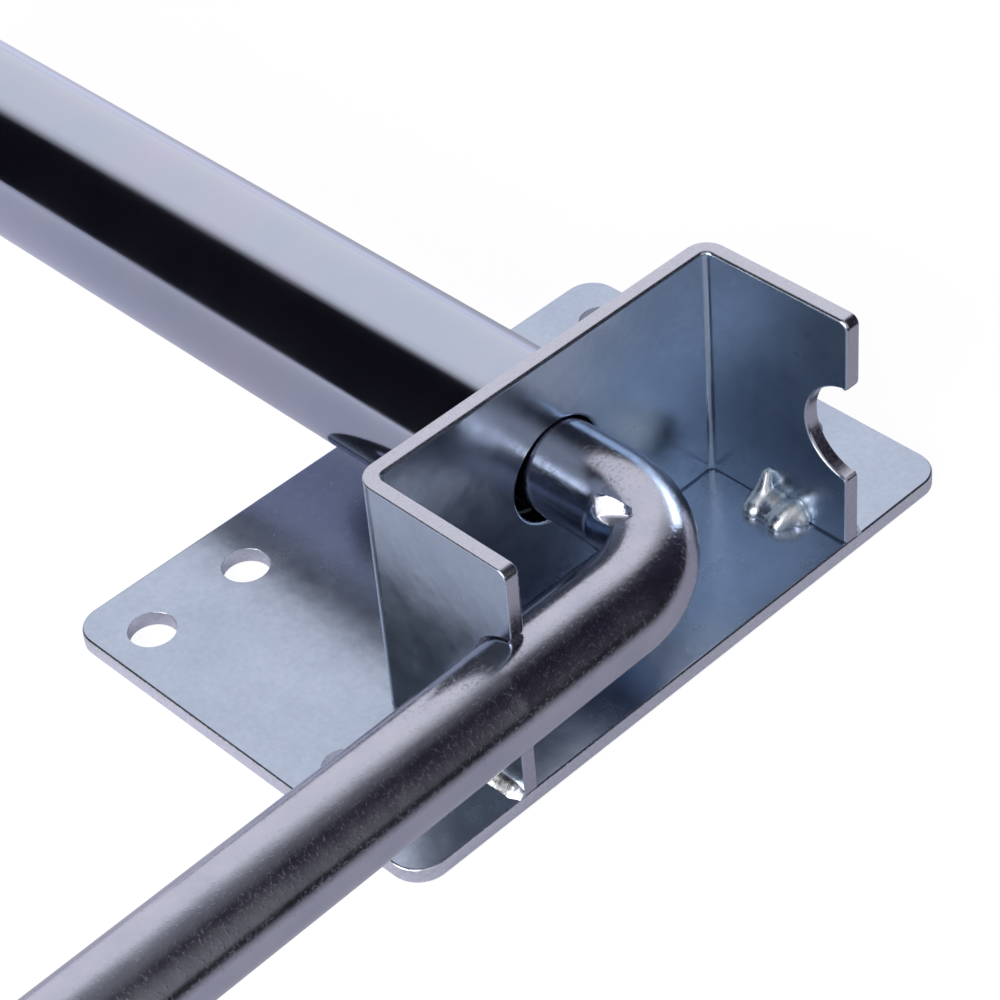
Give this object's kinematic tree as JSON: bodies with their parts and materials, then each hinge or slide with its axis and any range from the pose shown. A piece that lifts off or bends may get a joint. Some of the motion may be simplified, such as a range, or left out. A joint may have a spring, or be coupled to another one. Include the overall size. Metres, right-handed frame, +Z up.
{
  "type": "door holder",
  "caption": "Spring-loaded door holder: a bent round rod in a tube behind a U-shaped bracket on a bolted plate, its arm resting in a notch.",
  "frame": {"origin": "centre of the four corner bolt holes, on the plate's mounting face", "axes": "+Z up off the plate, +Y back along the tube, +X to the right when the arm points left"},
  "size_m": [0.2744, 0.3057, 0.0595],
  "materials": {
    "zinc_sheet": "zinc plated sheet steel, smooth and slightly mottled",
    "zinc_tube": "zinc plated drawn tube",
    "zinc_bar": "bright zinc plated round bar",
    "weld_metal": "zinc plated weld bead, lumpy",
    "spring_steel": "oiled hard-drawn spring wire",
    "zinc_fastener": "zinc plated fastener",
    "nut_nylon": "moulded nylon",
    "cap_plastic": "moulded polyethylene, satin"
  },
  "bodies": {
    "housing": {"mounting_plate": "zinc_sheet", "u_bracket": "zinc_sheet", "spring_tube": "zinc_tube", "tube_end_cap": "cap_plastic", "tube_fillet_weld": "weld_metal", "inner_tack_welds": "weld_metal", "outer_fillet_welds": "weld_metal", "compression_spring": "spring_steel"},
    "spring_carrier": {"thrust_washer": "zinc_fastener"},
    "draw_rod": {"locking_rod": "zinc_bar", "lock_nut": "zinc_fastener", "nut_insert_ring": "nut_nylon"}
  },
  "joints": [
    {"name": "pull", "type": "slide", "parent": "housing", "child": "spring_carrier", "axis": [0, -1, 0], "range_m": [0, 0.12], "stiffness_N_per_m": 1500, "springref_m": -0.028, "deforming": ["compression_spring"]},
    {"name": "turn", "type": "hinge", "parent": "spring_carrier", "child": "draw_rod", "pos_m": [0.0007, 0, 0.03275], "axis": [0, 1, 0], "range_deg": [0, 45]}
  ],
  "couplings": [
    {"joint": "turn", "follows": "pull", "rad_per_m": 6.5}
  ]
}
